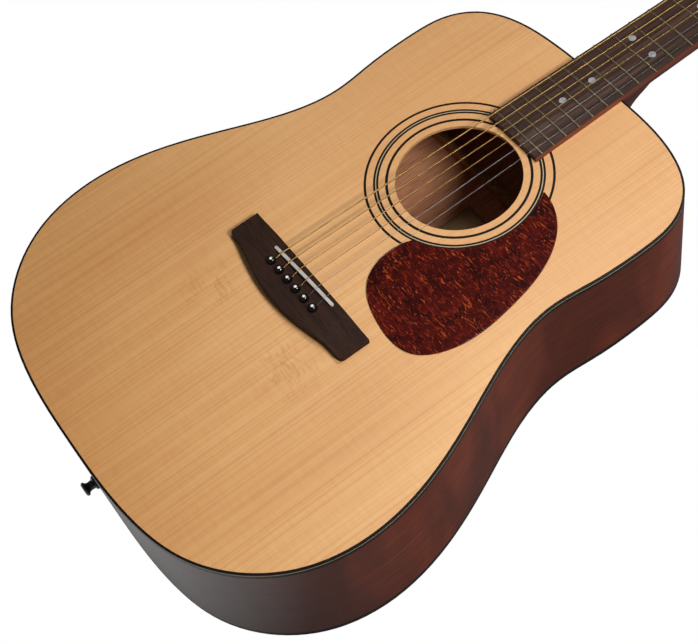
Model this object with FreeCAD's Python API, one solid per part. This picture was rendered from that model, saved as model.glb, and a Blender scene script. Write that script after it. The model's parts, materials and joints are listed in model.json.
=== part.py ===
"""Steel-string acoustic guitar, a 14-fret dreadnought, in millimetres.

Frame: the guitar lies on its back.  The origin is the centre of the soundhole on the
outer face of the soundboard.  +Y runs to the headstock, +X to the treble side and +Z
out of the soundboard.  Every piece is a separate solid, written to parts/NODE.step.
"""
import FreeCAD
import Part
import math
import os

V = FreeCAD.Vector

# ---- body -------------------------------------------------------------------------
BODY_END_Y = 145.0                # rim at the neck joint, which is also the 14th fret
# Rim outline as (x, y), neck end to tail, treble side; the bass side mirrors it.
RIM_STATIONS = [
    (0.0, 145.0), (56.9, 143.7), (93.8, 137.5), (124.3, 122.0), (140.6, 99.0),
    (145.8, 60.0), (143.6, 16.0), (139.9, -21.0), (150.0, -70.0), (171.5, -120.0),
    (192.5, -175.0), (200.4, -228.0), (190.3, -280.0), (165.0, -318.0),
    (129.0, -344.0), (81.5, -357.5), (0.0, -361.9)]
TAIL_Y = RIM_STATIONS[-1][1]
DEPTH_NECK = 104.0                # rim depth at the neck joint
DEPTH_TAIL = 122.0                # rim depth at the tail
BACK_RADIUS = 4572.0              # the arched back is part of a 15 foot ball
TOP_THICK = 2.8
BACK_THICK = 2.6
RIB_THICK = 2.3
BINDING_WIDE = 1.8
BINDING_TALL = 6.0
BINDING_LINE = (-1.6, -2.3)       # cream line in the binding's outer face, top and bottom z
BINDING_LINE_DEEP = 0.5
BACK_BINDING_TALL = 5.0
LINING_WIDE = 6.0
LINING_TALL = 14.0
NECK_BLOCK = (76.0, 52.0)         # wide, long
TAIL_BLOCK = (88.0, 20.0)
GRAFT_WIDE = 12.0
HOLE_RADIUS = 50.8
ROSETTE_DEEP = 1.0
BLACK_RINGS = [(56.4, 58.6), (64.0, 65.7), (66.5, 68.2), (73.8, 75.8)]
CREAM_RING = (65.7, 66.5)

# ---- scale, fretboard, neck ---------------------------------------------------------
SCALE = 648.0
NUT_Y = BODY_END_Y + SCALE * (1 - 2 ** (-14 / 12))
NUT_LONG = 5.0
NUT_TOP_Z = 8.6
BOARD_THICK = 6.4
BOARD_RADIUS = 400.0
BOARD_END_Y = 54.0
NUT_WIDE = 43.0
BOARD_END_WIDE = 59.2
FRET_COUNT = 20
FRET_CROWN = (2.2, 1.0)           # wide, tall
FRET_TANG = (0.5, 1.7)            # wide, deep
DOT_RADIUS = 3.1
DOT_DEEP = 1.4
DOT_PAIR_X = 12.0
SINGLE_DOTS = [3, 5, 7, 9, 15, 17]
NECK_DEPTH_NUT = 15.0
NECK_DEPTH_HEEL = 17.5
HEEL_CAP_THICK = 2.0
# Heel outline slices: depth below the soundboard, half width, length toward the head.
HEEL_SLICES = [
    (0.0, 27.9, 66.0), (11.0, 27.0, 50.0), (22.0, 24.5, 33.0), (40.0, 20.5, 24.0),
    (70.0, 16.5, 19.5), (104.0, 14.0, 17.0)]
TENON = (24.0, 16.0, 78.0)        # wide, long, deep
TENON_DROP = 0.4                  # tenon's top below the binding
ROD_CHANNEL = (6.4, 9.0)          # wide, deep
ROD_RADIUS = 3.0
ROD_OUT = 5.0                     # depth of the rod's axis
ROD_ANCHOR = 10.0                 # square block on the rod's body end
ROD_NUT_RADIUS = 3.4
ROD_NUT = (-3.0, 9.0)             # from and to along Y, counted from the string nut's front
ROD_KEY = (2.0, 6.0)              # hex socket's corner radius and depth
ROD_PLAY = 0.3
ROD_POCKET = (10.0, 24.0, 9.0)    # wide, long, deep, in the headstock's face

# ---- headstock and tuning machines ----------------------------------------------------
HEAD_TILT = 14.0
HEAD_THICK = 14.5
HEADPLATE_THICK = 1.5
HEAD_STATIONS = [(21.5, 0.0), (23.0, 12.0), (31.0, 28.0), (36.0, 40.0)]
HEAD_TOP_HALF = 38.5
HEAD_LONG = 182.0
HEAD_CROWN = 8.0
POST_X = 24.0
POST_ALONG = [52.0, 92.0, 132.0]  # nearest the nut first
POST_RADIUS = 3.0
POST_ABOVE = 13.0
BUSH_RADIUS = 4.8
BUSH_BORE = 3.06
BUSH_COLLAR = (5.6, 4.6, 2.2)     # foot radius, top radius, tall
WASHER_RADIUS = 7.0
WASHER_THICK = 1.2
HOUSING = (19.0, 21.0, 11.0)      # across, along, deep
HOUSING_WALL = 1.2
GEAR_RADIUS = 5.6
GEAR_ROOT = 4.7
GEAR_TEETH = 15
GEAR_THICK = 4.6
GEAR_GAP = 0.3                    # air between the gear and the housing's inner wall
TOOTH = 1.0                       # width of a gear tooth
LUG = (7.2, 5.0, 1.6)             # screw lug beside a housing: wide, long, thick
LUG_SCREW = 8.0                   # length of its screw
HOUSING_BACK = 3.2                # housing wall beyond the gear, toward the nut
WORM_RADIUS = 2.3
WORM_GAP = 0.3
SHAFT_RADIUS = 1.9
SHAFT_PLAY = 0.06                 # clearance round the worm shaft in its housing
THREAD = (7, 1.4, 0.7)            # worm's thread rings: count, pitch, width
COVER_THICK = 1.6
COVER_STATIONS = [(4.5, 34.0), (7.0, 26.0), (11.0, 12.0), (12.5, 2.0)]     # half width, along
COVER_TIP = 37.5
COVER_SCREWS = [(0.0, 31.0, 9.0), (-8.5, 6.5, 6.0), (8.5, 6.5, 6.0)]       # x, along, long
SCREW_HEAD = (2.4, 1.3, 0.8, 0.7)       # foot and top radius, straight part, dome
SCREW_SHANK = 1.1
BUTTON = (15.0, 10.0, 20.0)       # out along the shaft, thick, wide
BUTTON_STEM = 4.0
BUTTON_NECK = (3.0, 2.0)          # radius, length that shows
BUTTON_ROUND = 0.3                # edge rounding as a share of the thickness
POST_HOLE = (0.9, 3.6)            # radius of the string hole, below the post's top
POST_CAP = 0.8                    # bevel on the post's top
POST_FOOT = 1.0                   # post below its gear

# ---- bridge and strings -----------------------------------------------------------------
BRIDGE_FRONT_Y = -142.3
BRIDGE_HALF = 75.8
BRIDGE_WING_Y = -169.3
BRIDGE_BELLY_Y = -178.5
BRIDGE_THICK = 8.0
BRIDGE_WING_THICK = 5.2
SADDLE_Y = -148.6
SADDLE = (71.0, 2.7)              # long, thick
SADDLE_SLOT_Z = 3.5
SADDLE_TOP_Z = 11.2
SADDLE_SLANT = 2.6                # degrees, bass end nearer the tail
PIN_Y = -159.6
PIN_SPREAD = 56.4
PIN_TOP_RADIUS = 2.65
PIN_TIP_RADIUS = 2.2
PIN_LONG = 22.0
PIN_HEAD_RADIUS = 3.7
PIN_COLLAR = 0.9                  # straight foot of the head
PIN_DOME = 3.1                    # rounded top above it
SADDLE_SPREAD = 54.6
NUT_SPREAD = 36.0
STRING_RADII = [0.67, 0.53, 0.41, 0.31, 0.20, 0.15]   # sixth string to first
STRING_LIFT = 1.2                 # underside of a string above the board at the nut
STRING_REST = 0.02                # air under a string's middle where it bends over the saddle
STRING_PLAY = 0.06                # clearance round a string where it passes through wood
BALL_RADIUS = 2.0
BALL_AHEAD = 4.7
PLATE_THICK = 2.5
PICKGUARD_THICK = 1.2
PICKGUARD_INNER = 68.6            # concave edge follows the rosette's middle ring
PICKGUARD_STATIONS = [
    (56.6, 40.2), (89.0, 26.0), (109.0, -3.0), (120.6, -48.0), (121.4, -92.0),
    (103.0, -125.0), (66.0, -128.0), (30.0, -111.0), (20.4, -86.0), (24.0, -64.6)]

# ---- braces ---------------------------------------------------------------------------
X_CROSS_Y = -80.0
X_ANGLE = 49.0                    # each leg's angle from the centre line
X_BRACE = (8.0, 14.0)             # wide, tall
BRACE_END = 3.0                   # height left at a brace's end
BRACE_REACH = LINING_WIDE + RIB_THICK + 0.6
BACK_BRACES = [(54.5, 7.0, 13.0), (-52.0, 7.0, 13.0), (-165.0, 18.0, 9.0),
               (-275.0, 18.0, 9.0)]     # y, wide, tall
STRIP = (18.0, 2.5)               # wide, thick
STRIP_GAP = (-36.0, 34.0)         # bare place under the soundhole, y from and to

STRAP_Z = -66.0
STRAP_LONG = 11.0
STRAP_PROFILE = [(0, 0), (5.8, 0), (5.8, 1.2), (3.8, 2.6), (3.5, 5.4), (4.0, 7.4), (5.8, 8.6), (5.8, 9.9),
                 (4.6, STRAP_LONG), (0, STRAP_LONG)]     # radius, distance out of the tail
STRAP_SCREW_HEAD = (3.2, 2.0, 2.2)      # outer radius, shank radius, deep
FAR = 700.0                       # longer than the guitar's half length, for cutting tools


# ---- small helpers ----------------------------------------------------------------------
def save(name, *solids):
    """Write one node; several solids become a group in the same file."""
    shape = solids[0] if len(solids) == 1 else Part.makeCompound(list(solids))
    shape.exportStep("parts/" + name + ".step")


def block(x0, x1, y0, y1, z0, z1):
    return Part.makeBox(x1 - x0, y1 - y0, z1 - z0, V(x0, y0, z0))


def rod(radius, start, end):
    return Part.makeCylinder(radius, (end - start).Length, start, end - start)


def bar_along(points, radius):
    """Round bar along a chain of straight runs with mitred corners."""
    ring = Part.Wire(Part.makeCircle(radius, points[0], points[1] - points[0]))
    return Part.makePolygon(points).makePipeShell([ring], True, False, 1)


def mirrored(stations):
    """Closed list of points from one side's stations; points on the axis stay single."""
    right = [V(x, y, 0) for x, y in stations]
    left = [V(-x, y, 0) for x, y in reversed(stations) if x > 0]
    return right + left


def spline(points, closed=False):
    curve = Part.BSplineCurve()
    curve.interpolate(points, PeriodicFlag=closed)
    return curve


def slab(wire, z0, z1):
    face = Part.Face(wire)
    face.translate(V(0, 0, z0))
    return face.extrude(V(0, 0, z1 - z0))


# ---- the rim curve and the arched back -----------------------------------------------------
RIM = spline(mirrored(RIM_STATIONS), closed=True)
RIM_SAMPLES = 96


def inset_points(inset):
    """Points round the rim, moved inwards by inset along the curve's normal."""
    first, last = RIM.FirstParameter, RIM.LastParameter
    points = []
    for i in range(RIM_SAMPLES):
        u = first + (last - first) * i / RIM_SAMPLES
        point = RIM.value(u)
        along = RIM.tangent(u)[0]
        # The curve runs clockwise seen from +Z, so inwards is on its right-hand side.
        points.append(point + V(along.y, -along.x, 0) * inset)
    return points


def rim_slab(inset, z0, z1):
    curve = spline(inset_points(inset), closed=True)
    return slab(Part.Wire(curve.toShape()), z0, z1)


def rim_ring(outer, inner, z0, z1):
    return rim_slab(outer, z0, z1).cut(rim_slab(inner, z0 - 1, z1 + 1))


def back_centre():
    """Centre of the back's ball, which touches the rim depth at the neck and at the tail."""
    run = BODY_END_Y - TAIL_Y
    rise = DEPTH_TAIL - DEPTH_NECK
    chord = math.hypot(run, rise)
    to_centre = math.sqrt(BACK_RADIUS ** 2 - (chord / 2) ** 2)
    middle = V(0, (BODY_END_Y + TAIL_Y) / 2, -(DEPTH_NECK + DEPTH_TAIL) / 2)
    return middle + V(0, -rise / chord, run / chord) * to_centre


BACK_CENTRE = back_centre()
DEEPEST = -(DEPTH_TAIL + 12.0)


def above_back(shape, offset):
    """Keep the part of a shape that lies inside the ball, offset up from the back's face."""
    return shape.common(Part.makeSphere(BACK_RADIUS - offset, BACK_CENTRE))


def below_back(shape, offset):
    return shape.cut(Part.makeSphere(BACK_RADIUS - offset, BACK_CENTRE))


# ---- strings -------------------------------------------------------------------------------
def string_x(index, spread):
    """Sideways place of a string, index 0 the sixth (bass) to 5 the first (treble)."""
    return -spread / 2 + spread * index / 5


def crown_drop(x):
    return x * x / (2 * BOARD_RADIUS)


def saddle_point(index):
    x = string_x(index, SADDLE_SPREAD)
    y = SADDLE_Y + math.tan(math.radians(SADDLE_SLANT)) * x
    return V(x, y, SADDLE_TOP_Z - crown_drop(x) + STRING_RADII[index] + STRING_REST)


def nut_point(index, y):
    x = string_x(index, NUT_SPREAD)
    radius = STRING_RADII[index]
    return V(x, y, BOARD_THICK - crown_drop(x) + STRING_LIFT + radius)


def head_place(shape):
    """Move a shape from the headstock's own frame (x, along, out of its face) to the guitar."""
    shape.rotate(V(0, 0, 0), V(1, 0, 0), -HEAD_TILT)
    shape.translate(V(0, NUT_Y + NUT_LONG, 0))
    return shape


def head_point(x, along, out):
    a = math.radians(HEAD_TILT)
    y = NUT_Y + NUT_LONG + along * math.cos(a) + out * math.sin(a)
    return V(x, y, -along * math.sin(a) + out * math.cos(a))


def post_of(index):
    """Post serving a string: side (-1 bass, 1 treble) and distance along the headstock."""
    side = -1 if index < 3 else 1
    row = index if index < 3 else 5 - index
    return side, POST_ALONG[row]


WRAP_OUT = 6.2                    # height of the string's wrap above the headstock's face
WRAP_TURN = 315.0
WRAP_STEPS = 14


def wrap_radius(index):
    return POST_RADIUS + STRING_PLAY + STRING_RADII[index]


def wrap_start(index):
    side, along = post_of(index)
    return head_point(side * (POST_X - wrap_radius(index)), along, WRAP_OUT)


def string_points(index):
    """Path of one string from its ball end over the saddle and nut to its post."""
    x = string_x(index, PIN_SPREAD)
    under = -TOP_THICK - PLATE_THICK
    lift = STRING_RADII[index]
    slot = PIN_Y + PIN_TOP_RADIUS - 0.3
    return [V(x, PIN_Y + BALL_AHEAD, under - 0.2), V(x, slot, under + 3.0),
            V(x, slot, BRIDGE_THICK - 1.0 + lift), saddle_point(index),
            nut_point(index, NUT_Y + NUT_LONG), wrap_start(index)]


def wrap_points(index):
    """Points of one turn of the string round its post, after the point where it arrives."""
    side, along = post_of(index)
    radius = wrap_radius(index)
    points = []
    for step in range(1, WRAP_STEPS + 1):
        turn = math.radians(WRAP_TURN * step / WRAP_STEPS)
        x = side * (POST_X - radius * math.cos(turn))
        points.append(head_point(x, along + radius * math.sin(turn), WRAP_OUT))
    return points


def string_solid(index):
    return bar_along(string_points(index) + wrap_points(index), STRING_RADII[index])


def string_channel(index):
    """Clearance for a string through the bridge plate, soundboard, bridge and pin."""
    return bar_along(string_points(index)[:5], STRING_RADII[index] + STRING_PLAY)


# ---- pieces of the body ------------------------------------------------------------------
def make_binding():
    top = rim_ring(0, BINDING_WIDE, -BINDING_TALL, 0)
    line = rim_ring(0, BINDING_LINE_DEEP, BINDING_LINE[1], BINDING_LINE[0])
    save("top_binding", top.cut(line))
    save("binding_line", line)
    ring = rim_ring(0, BINDING_WIDE, DEEPEST, -DEPTH_NECK / 2)
    back = below_back(above_back(ring, 0), BACK_BINDING_TALL)
    save("back_binding", back)
    return top, back


def make_ribs(top_binding, back_binding, tenon):
    ring = above_back(rim_ring(0, RIB_THICK, DEEPEST, -TOP_THICK), BACK_THICK)
    ring = ring.cut([top_binding, back_binding, tenon])
    graft = ring.common(block(-GRAFT_WIDE / 2, GRAFT_WIDE / 2, TAIL_Y - 1, TAIL_Y + 20, DEEPEST, 0))
    button_hole = rod(2.6, V(0, TAIL_Y - 5, STRAP_Z), V(0, TAIL_Y + 40, STRAP_Z))
    save("end_graft", graft.cut(button_hole))
    ring = ring.cut(graft)
    save("rib_treble", ring.common(block(0, FAR, -FAR, FAR, DEEPEST, 0)))
    save("rib_bass", ring.common(block(-FAR, 0, -FAR, FAR, DEEPEST, 0)))


def make_blocks(tenon):
    """Neck block with the tenon's mortise, and tail block drilled for the strap button."""
    inside = above_back(rim_slab(RIB_THICK, DEEPEST, -TOP_THICK), BACK_THICK)
    wide, long = NECK_BLOCK
    neck = inside.common(block(-wide / 2, wide / 2, BODY_END_Y - RIB_THICK - long, BODY_END_Y, DEEPEST, 0))
    save("neck_block", neck.cut(tenon))
    wide, long = TAIL_BLOCK
    tail = inside.common(block(-wide / 2, wide / 2, TAIL_Y, TAIL_Y + RIB_THICK + long, DEEPEST, 0))
    shank = rod(2.0, V(0, TAIL_Y - 5, STRAP_Z), V(0, TAIL_Y + 40, STRAP_Z))
    save("tail_block", tail.cut(shank))
    return [neck, tail]


def make_linings(blocks):
    """Glue strips in the corners between the ribs and the two plates."""
    outer = RIB_THICK
    inner = RIB_THICK + LINING_WIDE
    top = rim_ring(outer, inner, -TOP_THICK - LINING_TALL, -TOP_THICK)
    save("top_lining", *top.cut(blocks).Solids)
    ring = above_back(rim_ring(outer, inner, DEEPEST, -DEPTH_NECK / 2), BACK_THICK)
    save("back_lining", *below_back(ring, BACK_THICK + LINING_TALL).cut(blocks).Solids)


def make_rosette():
    rings = []
    for inner, outer in BLACK_RINGS + [CREAM_RING]:
        disc = rod(outer, V(0, 0, -ROSETTE_DEEP), V(0, 0, 0))
        rings.append(disc.cut(rod(inner, V(0, 0, -ROSETTE_DEEP), V(0, 0, 0))))
    save("rosette_black_rings", *rings[:-1])
    save("rosette_cream_ring", rings[-1])
    return rings


def pin_taper(index):
    """Tapered shank of a bridge pin, and the hole it sits in through bridge, top and plate."""
    x = string_x(index, PIN_SPREAD)
    top = V(x, PIN_Y, BRIDGE_THICK)
    return Part.makeCone(PIN_TOP_RADIUS, PIN_TIP_RADIUS, PIN_LONG, top, V(0, 0, -1))


def make_pins(channels):
    pins = []
    for index in range(6):
        x = string_x(index, PIN_SPREAD)
        pin = pin_taper(index)
        dome_foot = BRIDGE_THICK + PIN_COLLAR
        collar = Part.makeCylinder(PIN_HEAD_RADIUS, PIN_COLLAR, V(x, PIN_Y, BRIDGE_THICK))
        dome = Part.makeSphere(PIN_HEAD_RADIUS, V(x, PIN_Y, dome_foot))
        dome = dome.common(block(x - 5, x + 5, PIN_Y - 5, PIN_Y + 5, dome_foot, dome_foot + PIN_DOME))
        tip = Part.makeSphere(PIN_TIP_RADIUS, V(x, PIN_Y, BRIDGE_THICK - PIN_LONG))
        pins.append(pin.fuse([collar, dome, tip]).cut(channels[index]).removeSplitter())
    save("bridge_pins", *pins)


def make_soundboard(rings, holes):
    board = rim_slab(BINDING_WIDE, -TOP_THICK, 0)
    board = board.cut(rod(HOLE_RADIUS, V(0, 0, -TOP_THICK - 1), V(0, 0, 1)))
    save("soundboard", board.cut(rings + holes))


def make_back():
    plate = below_back(above_back(rim_slab(BINDING_WIDE, DEEPEST, -DEPTH_NECK / 2), 0), BACK_THICK)
    save("back", plate)


def make_pickguard():
    edge = spline([V(x, y, 0) for x, y in PICKGUARD_STATIONS]).toShape()
    first, last = (V(*PICKGUARD_STATIONS[i], 0) for i in (0, -1))
    closing = Part.makeLine(last, first)
    plate = slab(Part.Wire([edge, closing]), 0, PICKGUARD_THICK)
    save("pickguard", plate.cut(rod(PICKGUARD_INNER, V(0, 0, -1), V(0, 0, 5))))


def bridge_outline():
    """Straight front, square ends with rounded back corners, and a belly toward the tail."""
    half = BRIDGE_HALF
    wing = BRIDGE_WING_Y
    corner = 4.0
    belly = [V(half - corner, wing, 0), V(62, wing - 0.3, 0), V(46, wing - 3.4, 0),
             V(28, wing - 7.0, 0), V(0, BRIDGE_BELLY_Y, 0), V(-28, wing - 7.0, 0),
             V(-46, wing - 3.4, 0), V(-62, wing - 0.3, 0), V(corner - half, wing, 0)]
    back = Part.BSplineCurve()
    back.interpolate(belly, InitialTangent=V(-1, 0, 0), FinalTangent=V(-1, 0, 0))
    turn = corner * (1 - math.sqrt(0.5))
    edges = [Part.makeLine(V(-half, BRIDGE_FRONT_Y, 0), V(half, BRIDGE_FRONT_Y, 0)),
             Part.makeLine(V(half, BRIDGE_FRONT_Y, 0), V(half, wing + corner, 0)),
             Part.Arc(V(half, wing + corner, 0), V(half - turn, wing + turn, 0),
                      V(half - corner, wing, 0)).toShape(),
             back.toShape(),
             Part.Arc(V(corner - half, wing, 0), V(turn - half, wing + turn, 0),
                      V(-half, wing + corner, 0)).toShape(),
             Part.makeLine(V(-half, wing + corner, 0), V(-half, BRIDGE_FRONT_Y, 0))]
    return Part.Wire(edges)


def make_saddle(channels):
    long, thick = SADDLE
    blank = block(-long / 2, long / 2, -thick / 2, thick / 2, SADDLE_SLOT_Z, SADDLE_TOP_Z + 1)
    ends = rod(thick / 2, V(-long / 2, 0, SADDLE_SLOT_Z), V(-long / 2, 0, SADDLE_TOP_Z + 1))
    other = rod(thick / 2, V(long / 2, 0, SADDLE_SLOT_Z), V(long / 2, 0, SADDLE_TOP_Z + 1))
    blank = blank.fuse([ends, other]).removeSplitter()
    crown = rod(BOARD_RADIUS, V(0, -10, SADDLE_TOP_Z - BOARD_RADIUS), V(0, 10, SADDLE_TOP_Z - BOARD_RADIUS))
    saddle = blank.common(crown)
    for shape in (blank, saddle):
        shape.rotate(V(0, 0, 0), V(0, 0, 1), SADDLE_SLANT)
        shape.translate(V(0, SADDLE_Y, 0))
    save("saddle", saddle.cut(channels))
    return blank


def make_bridge(channels):
    blank = slab(bridge_outline(), 0, BRIDGE_THICK)
    side = [V(-BRIDGE_HALF - 1, 0, 0), V(BRIDGE_HALF + 1, 0, 0)]
    crest = Part.BSplineCurve()
    crest.interpolate([V(BRIDGE_HALF + 1, 0, BRIDGE_WING_THICK), V(62, 0, BRIDGE_WING_THICK + 0.9),
                       V(46, 0, BRIDGE_THICK), V(0, 0, BRIDGE_THICK + 0.01), V(-46, 0, BRIDGE_THICK),
                       V(-62, 0, BRIDGE_WING_THICK + 0.9), V(-BRIDGE_HALF - 1, 0, BRIDGE_WING_THICK)])
    wire = Part.Wire([Part.makeLine(side[0], side[1]), Part.makeLine(side[1], crest.StartPoint),
                      crest.toShape(), Part.makeLine(crest.EndPoint, side[0])])
    profile = Part.Face(wire)
    profile.translate(V(0, BRIDGE_BELLY_Y - 2, 0))
    body = blank.common(profile.extrude(V(0, 50, 0)))
    saddle_blank = make_saddle(channels)
    save("bridge", body.cut([saddle_blank] + [pin_taper(i) for i in range(6)] + channels))


def straight_brace(start, angle, back_reach, front_reach, wide, tall, taper=45.0):
    """Bar under the soundboard through start, angle measured from +Y toward +X."""
    z0 = -TOP_THICK
    low = z0 - tall
    end = z0 - min(BRACE_END, tall - 1)
    outline = [V(0, -back_reach, z0), V(0, front_reach, z0), V(0, front_reach, end),
               V(0, front_reach - taper, low), V(0, taper - back_reach, low), V(0, -back_reach, end)]
    bar = Part.Face(Part.makePolygon(outline + outline[:1])).extrude(V(wide, 0, 0))
    bar.translate(V(-wide / 2, 0, 0))
    bar.rotate(V(0, 0, 0), V(0, 0, 1), -angle)
    bar.translate(V(start[0], start[1], 0))
    return bar


def make_top_braces(holes):
    inside = rim_slab(BRACE_REACH, -60, 0)
    wide, tall = X_BRACE
    legs = [straight_brace((0, X_CROSS_Y), side * X_ANGLE, 215, 196, wide, tall, 60) for side in (-1, 1)]
    low_half = block(-20, 20, X_CROSS_Y - 20, X_CROSS_Y + 20, -60, -TOP_THICK - tall / 2)
    high_half = block(-20, 20, X_CROSS_Y - 20, X_CROSS_Y + 20, -TOP_THICK - tall / 2, 0)
    first = legs[0].cut(legs[1].common(low_half)).common(inside)
    second = legs[1].cut(legs[0].common(high_half)).common(inside)
    save("x_braces", first, second)

    bars = [straight_brace((-62, -196), 112, 0, 190, 6, 11), straight_brace((-95, -246), 112, 0, 175, 6, 9)]
    for side in (-1, 1):
        bars.append(straight_brace((side * 68, -126), side * 84, 0, 110, 5, 8, 25))
        bars.append(straight_brace((side * 112, -164), side * 98, 0, 80, 5, 8, 25))
    bars = [bar.common(inside).cut(legs) for bar in bars]
    save("tone_and_finger_braces", *bars)

    cross = straight_brace((0, 80), 90, 160, 160, 12, 16, 30).common(inside)
    save("upper_transverse_brace", cross)
    patches = [straight_brace((side * 63, 22), 0, 44, 51.5, 10, 4, 10).cut(legs) for side in (-1, 1)]
    save("soundhole_braces", *patches)

    slope = math.tan(math.radians(X_ANGLE))
    edge = wide / 2 / math.cos(math.radians(X_ANGLE)) + 0.4
    near, far = BRIDGE_FRONT_Y + 4, BRIDGE_BELLY_Y + 4
    half = [(X_CROSS_Y - y) * slope - edge for y in (near, far)]
    corners = [V(-half[0], near, 0), V(half[0], near, 0), V(half[1], far, 0), V(-half[1], far, 0)]
    plate = slab(Part.makePolygon(corners + corners[:1]), -TOP_THICK - PLATE_THICK, -TOP_THICK)
    save("bridge_plate", plate.cut(holes))


def make_back_braces():
    """Four bars across the back, and the strip over the centre seam between them."""
    inside = above_back(rim_slab(BRACE_REACH, DEEPEST, -DEPTH_NECK / 3), BACK_THICK)
    bars = []
    for y, wide, tall in BACK_BRACES:
        bar = inside.common(block(-FAR, FAR, y - wide / 2, y + wide / 2, DEEPEST, 0))
        bars.append(below_back(bar, BACK_THICK + tall))
    save("back_braces", *bars)
    wide, thick = STRIP
    ends = (BODY_END_Y - RIB_THICK - NECK_BLOCK[1] - 1, TAIL_Y + RIB_THICK + TAIL_BLOCK[1] + 1)
    strip = inside.common(block(-wide / 2, wide / 2, ends[1], ends[0], DEEPEST, 0))
    bare = block(-wide, wide, STRIP_GAP[0], STRIP_GAP[1], DEEPEST, 0)
    strip = below_back(strip, BACK_THICK + thick).cut(bars + [bare])
    save("back_centre_strip", *strip.Solids)


def make_strap_button():
    """Flared button on the tail and the screw that holds it."""
    wire = Part.makePolygon([V(r, -d, 0) for r, d in STRAP_PROFILE + STRAP_PROFILE[:1]])
    body = Part.Face(wire).revolve(V(0, 0, 0), V(0, 1, 0), 360)
    body.translate(V(0, TAIL_Y, STRAP_Z))
    body = body.cut(rim_slab(0, DEEPEST, 0))
    end = V(0, TAIL_Y - STRAP_LONG, STRAP_Z)
    head, shank, deep = STRAP_SCREW_HEAD
    cone = Part.makeCone(head, shank, deep, end, V(0, 1, 0))
    screw = cone.fuse(rod(shank, end, V(0, TAIL_Y + 20, STRAP_Z))).removeSplitter()
    save("strap_button", body.cut(screw))
    save("strap_button_screw", screw)


# ---- pieces of the neck ---------------------------------------------------------------------
def board_half(y):
    rate = (BOARD_END_WIDE - NUT_WIDE) / 2 / (NUT_Y - BOARD_END_Y)
    return NUT_WIDE / 2 + rate * (NUT_Y - y)


def fret_y(number):
    return NUT_Y - SCALE * (1 - 2 ** (-number / 12))


def crown_limit(z):
    """Long round bar whose upper side is the fretboard's crown at height z."""
    return rod(BOARD_RADIUS, V(0, -FAR, z - BOARD_RADIUS), V(0, FAR, z - BOARD_RADIUS))


def make_fret(number):
    y = fret_y(number)
    wide, tall = FRET_CROWN
    tang, deep = FRET_TANG
    z = BOARD_THICK
    edges = [Part.Arc(V(0, y - wide / 2, z), V(0, y, z + tall), V(0, y + wide / 2, z)).toShape(),
             Part.makePolygon([V(0, y + wide / 2, z), V(0, y + tang / 2, z), V(0, y + tang / 2, z - deep),
                               V(0, y - tang / 2, z - deep), V(0, y - tang / 2, z), V(0, y - wide / 2, z)])]
    face = Part.Face(Part.Wire(edges))
    angle = math.degrees(math.asin((board_half(y) - 0.2) / BOARD_RADIUS))
    centre = V(0, y, z - BOARD_RADIUS)
    face.rotate(centre, V(0, 1, 0), -angle)
    return face.revolve(centre, V(0, 1, 0), 2 * angle)


def make_fretboard():
    frets = [make_fret(n) for n in range(1, FRET_COUNT + 1)]
    save("frets", *frets)
    spots = [(0, n) for n in SINGLE_DOTS] + [(-DOT_PAIR_X, 12), (DOT_PAIR_X, 12)]
    limit = crown_limit(BOARD_THICK)
    dots = []
    for x, number in spots:
        y = (fret_y(number) + fret_y(number - 1)) / 2
        dots.append(rod(DOT_RADIUS, V(x, y, BOARD_THICK - DOT_DEEP), V(x, y, BOARD_THICK + 1)).common(limit))
    save("position_markers", *dots)
    half_nut, half_end = NUT_WIDE / 2, BOARD_END_WIDE / 2
    corners = [V(-half_nut, NUT_Y, 0), V(half_nut, NUT_Y, 0),
               V(half_end, BOARD_END_Y, 0), V(-half_end, BOARD_END_Y, 0)]
    board = slab(Part.makePolygon(corners + corners[:1]), 0, BOARD_THICK).common(limit)
    save("fretboard", board.cut(frets + dots))


def make_nut():
    nut = block(-NUT_WIDE / 2, NUT_WIDE / 2, NUT_Y, NUT_Y + NUT_LONG, 0, NUT_TOP_Z + 1)
    nut = nut.common(crown_limit(NUT_TOP_Z))
    slots = []
    for index in range(6):
        centre = nut_point(index, NUT_Y - 1)
        r = STRING_RADII[index] + STRING_PLAY
        slots.append(rod(r, centre, centre + V(0, NUT_LONG + 2, 0)))
        slots.append(block(centre.x - r, centre.x + r, NUT_Y - 1, NUT_Y + NUT_LONG + 1,
                           centre.z, NUT_TOP_Z + 2))
    save("nut", nut.cut(slots))


def shaft_section(y, half, depth):
    """D-shaped neck section: flat under the board, half an ellipse below."""
    steps = 12
    curve = [V(half * math.cos(math.pi * i / steps), y, -depth * math.sin(math.pi * i / steps))
             for i in range(steps + 1)]
    return Part.Wire([spline(curve).toShape(), Part.makeLine(curve[-1], curve[0])])


def heel_section(depth, half, long):
    """U-shaped slice of the heel, flat against the body."""
    foot = BODY_END_Y - 1.0
    curve = [V(half, foot, 0), V(half * 0.97, foot + long * 0.35, 0), V(half * 0.66, foot + long * 0.82, 0),
             V(0, foot + long, 0), V(-half * 0.66, foot + long * 0.82, 0),
             V(-half * 0.97, foot + long * 0.35, 0), V(-half, foot, 0)]
    wire = Part.Wire([spline(curve).toShape(), Part.makeLine(curve[-1], curve[0])])
    wire.translate(V(0, 0, -depth))
    return wire


def head_outline():
    right = [V(x, s, 0) for x, s in HEAD_STATIONS]
    top = V(HEAD_TOP_HALF, HEAD_LONG, 0)
    crown = V(0, HEAD_LONG + HEAD_CROWN, 0)
    left = [V(-p.x, p.y, 0) for p in reversed(right)]
    edges = [spline(right).toShape(), Part.makeLine(right[-1], top),
             Part.Arc(top, crown, V(-top.x, top.y, 0)).toShape(),
             Part.makeLine(V(-top.x, top.y, 0), left[0]), spline(left).toShape(),
             Part.makeLine(left[-1], right[0])]
    return Part.Wire(edges)


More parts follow.
